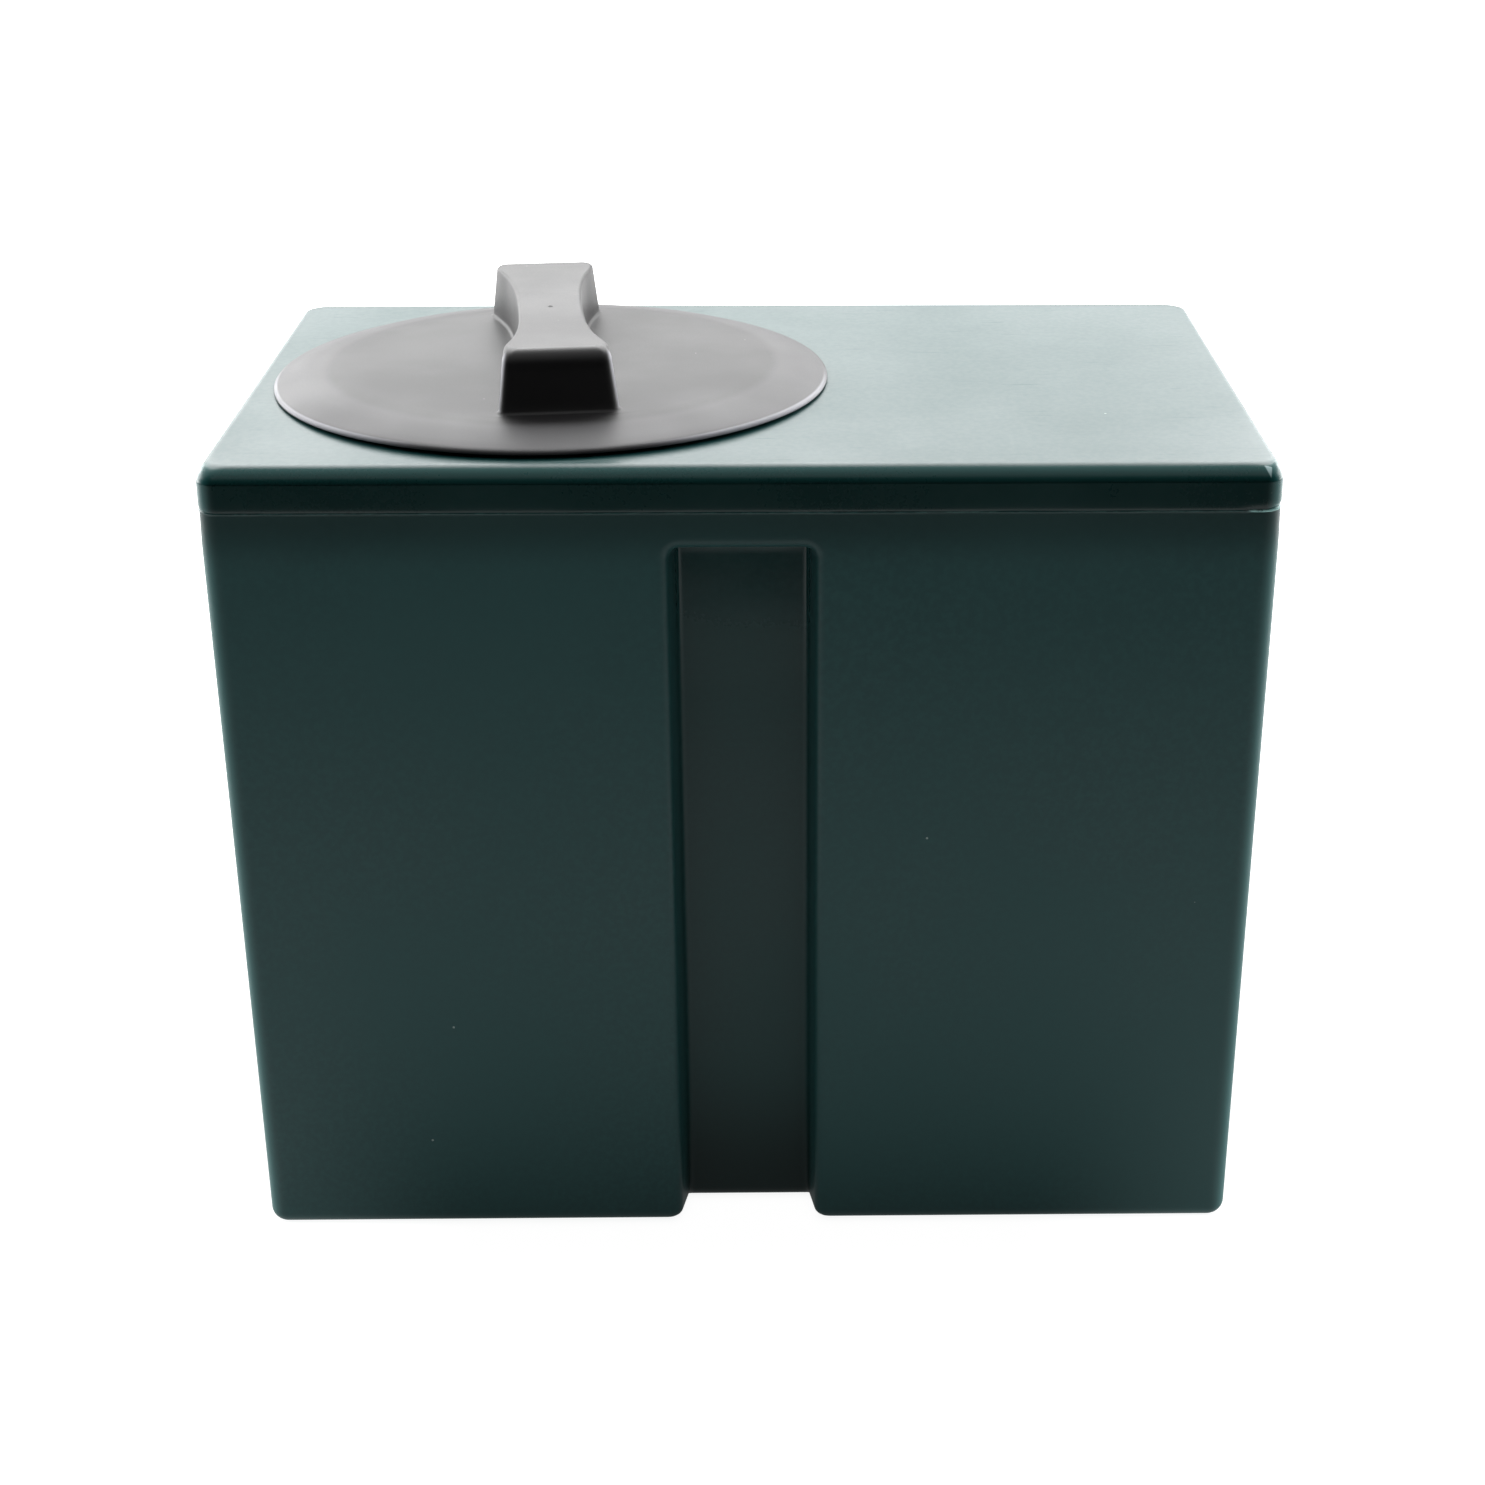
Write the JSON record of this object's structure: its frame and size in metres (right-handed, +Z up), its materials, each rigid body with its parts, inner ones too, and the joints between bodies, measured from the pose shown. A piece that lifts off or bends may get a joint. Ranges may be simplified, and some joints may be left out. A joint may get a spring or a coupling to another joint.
{
  "type": "header tank",
  "caption": "Rectangular plastic header tank with a stake groove, a round lift-off lid with a hollow grip, a float valve and an outlet tap at the back.",
  "frame": {"origin": "centre of the tank's base, on the ground", "axes": "+Z up, +X to the right seen from the grooved front, +Y from the grooved front face to the back face that carries the fittings"},
  "size_m": [0.4, 0.341, 0.3585],
  "materials": {
    "tank_plastic": "satin rotomoulded",
    "lid_plastic": "satin",
    "brass": "machined",
    "black_plastic": "satin",
    "rubber": "dull",
    "float_plastic": "semi-gloss",
    "lever_plastic": "semi-gloss",
    "white_plastic": "satin",
    "steel": "machined"
  },
  "bodies": {
    "tank": {"tank_shell": "tank_plastic", "valve_body": "brass", "valve_nozzle": "white_plastic", "valve_end_cap": "brass", "arm_pivot_pin": "steel", "inlet_inner_washer": "rubber", "inlet_outer_washer": "rubber", "inlet_inner_nut": "brass", "inlet_outer_nut": "brass", "outlet_connector": "black_plastic", "outlet_inner_washer": "rubber", "outlet_outer_washer": "rubber", "outlet_back_nut": "black_plastic", "tap_body": "black_plastic", "tap_seat_inner": "white_plastic", "tap_seat_outer": "white_plastic", "stem_o_ring": "rubber", "hose_tail": "black_plastic"},
    "lid": {"lid": "lid_plastic"},
    "float": {"float_arm": "brass", "float_ball": "float_plastic", "float_lock_nut": "brass"},
    "piston": {"valve_piston": "brass", "piston_washer": "rubber"},
    "tap_key": {"tap_ball": "steel", "tap_stem": "steel", "tap_lever": "lever_plastic", "lever_screw": "steel"}
  },
  "joints": [
    {"name": "lid_lift", "type": "slide", "parent": "tank", "child": "lid", "axis": [0, 0, 1], "range_m": [0, 0.12]},
    {"name": "float_swing", "type": "hinge", "parent": "tank", "child": "float", "pos_m": [0.1, 0.067, 0.274], "axis": [-1, 0, 0], "range_deg": [0, 36]},
    {"name": "piston_slide", "type": "slide", "parent": "tank", "child": "piston", "axis": [0, 1, 0], "range_m": [0, 0.0062]},
    {"name": "tap_turn", "type": "hinge", "parent": "tank", "child": "tap_key", "pos_m": [-0.078, 0.164, 0.057], "axis": [0, 0, 1], "range_deg": [0, 90]}
  ],
  "couplings": [
    {"joint": "piston_slide", "follows": "float_swing", "m_per_rad": 0.009836}
  ]
}
